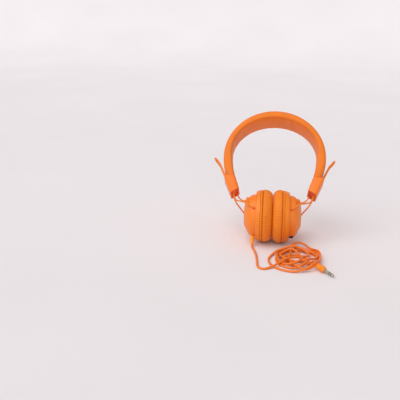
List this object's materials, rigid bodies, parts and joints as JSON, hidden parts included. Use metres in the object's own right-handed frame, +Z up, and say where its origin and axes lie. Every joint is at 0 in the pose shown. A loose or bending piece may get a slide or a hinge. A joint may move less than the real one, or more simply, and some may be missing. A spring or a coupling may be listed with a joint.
{
  "type": "on-ear headphones",
  "caption": "Wired on-ear headphones with round padded cups on sliding spring-wire yokes, a padded headband, and a lead with a 3.5 mm plug.",
  "frame": {"origin": "the underside of the headband's crown, halfway from front to back, where a head or a peg carries the headset", "axes": "+X to the wearer's-side cup with the share socket, across the headband; +Z up from the surface that the cups and the lead lie on; the headset leans back 38 degrees towards +Y, and its front and its lead are at -Y"},
  "size_m": [0.1652, 0.2151, 0.1619],
  "materials": {
    "sleeve_leatherette": "satin",
    "foam": "matte",
    "spring_steel": "satin",
    "inner_cable": "satin",
    "cap_plastic": "gloss",
    "guide_plastic": "satin",
    "screw_steel": "satin",
    "coated_wire": "gloss",
    "cushion_leatherette": "satin",
    "inner_plastic": "matte",
    "grille": "matte",
    "housing_plastic": "satin",
    "diaphragm_film": "satin",
    "copper": "satin",
    "magnet": "satin",
    "cover_plastic": "satin",
    "relief_rubber": "satin",
    "black_plastic": "satin",
    "cable": "satin",
    "plug_rubber": "satin",
    "gold_plate": "polished"
  },
  "bodies": {
    "headband": {"cap_screws": "screw_steel", "crossover_lead": "inner_cable", "end_cap_left": "cap_plastic", "end_cap_right": "cap_plastic", "headband_foam": "foam", "headband_sleeve": "sleeve_leatherette", "headband_spring": "spring_steel", "wire_guide_left": "guide_plastic", "wire_guide_right": "guide_plastic"},
    "yoke_left": {"cup_lead_left": "inner_cable", "wire_yoke_left": "coated_wire"},
    "yoke_right": {"cup_lead_right": "inner_cable", "wire_yoke_right": "coated_wire"},
    "cup_left": {"baffle_left": "inner_plastic", "baffle_screws_left": "screw_steel", "cord_heap": "cable", "cord_run": "cable", "cup_cover_left": "cover_plastic", "cup_housing_left": "housing_plastic", "cushion_plate_left": "inner_plastic", "driver_diaphragm_left": "diaphragm_film", "driver_frame_left": "inner_plastic", "driver_grille_left": "grille", "driver_magnet_left": "magnet", "ear_cushion_left": "cushion_leatherette", "pivot_bushes_left": "guide_plastic", "plug_body": "plug_rubber", "plug_insulator_front": "black_plastic", "plug_insulator_rear": "black_plastic", "plug_ring": "gold_plate", "plug_sleeve": "gold_plate", "plug_tip": "gold_plate", "strain_relief": "relief_rubber", "voice_coil_left": "copper"},
    "cup_right": {"baffle_right": "inner_plastic", "baffle_screws_right": "screw_steel", "cup_cover_right": "cover_plastic", "cup_housing_right": "housing_plastic", "cushion_plate_right": "inner_plastic", "driver_diaphragm_right": "diaphragm_film", "driver_frame_right": "inner_plastic", "driver_grille_right": "grille", "driver_magnet_right": "magnet", "ear_cushion_right": "cushion_leatherette", "pivot_bushes_right": "guide_plastic", "share_socket": "black_plastic", "voice_coil_right": "copper"}
  },
  "joints": [
    {"name": "yoke_slide_left", "type": "slide", "parent": "headband", "child": "yoke_left", "axis": [0.4226, -0.558, -0.7142], "range_m": [-0.006, 0.014], "deforming": ["ear_cushion_left", "cup_lead_left"]},
    {"name": "cup_tilt_left", "type": "hinge", "parent": "yoke_left", "child": "cup_left", "pos_m": [-0.024, -0.08496, -0.10874], "axis": [0, 0.788, -0.6157], "range_deg": [-8, 8], "deforming": ["ear_cushion_left", "cup_lead_left"]},
    {"name": "yoke_slide_right", "type": "slide", "parent": "headband", "child": "yoke_right", "axis": [-0.4226, -0.558, -0.7142], "range_m": [-0.006, 0.014], "deforming": ["ear_cushion_right", "cup_lead_right"]},
    {"name": "cup_tilt_right", "type": "hinge", "parent": "yoke_right", "child": "cup_right", "pos_m": [0.024, -0.08496, -0.10874], "axis": [0, 0.788, -0.6157], "range_deg": [-8, 8], "deforming": ["ear_cushion_right", "cup_lead_right"]}
  ]
}
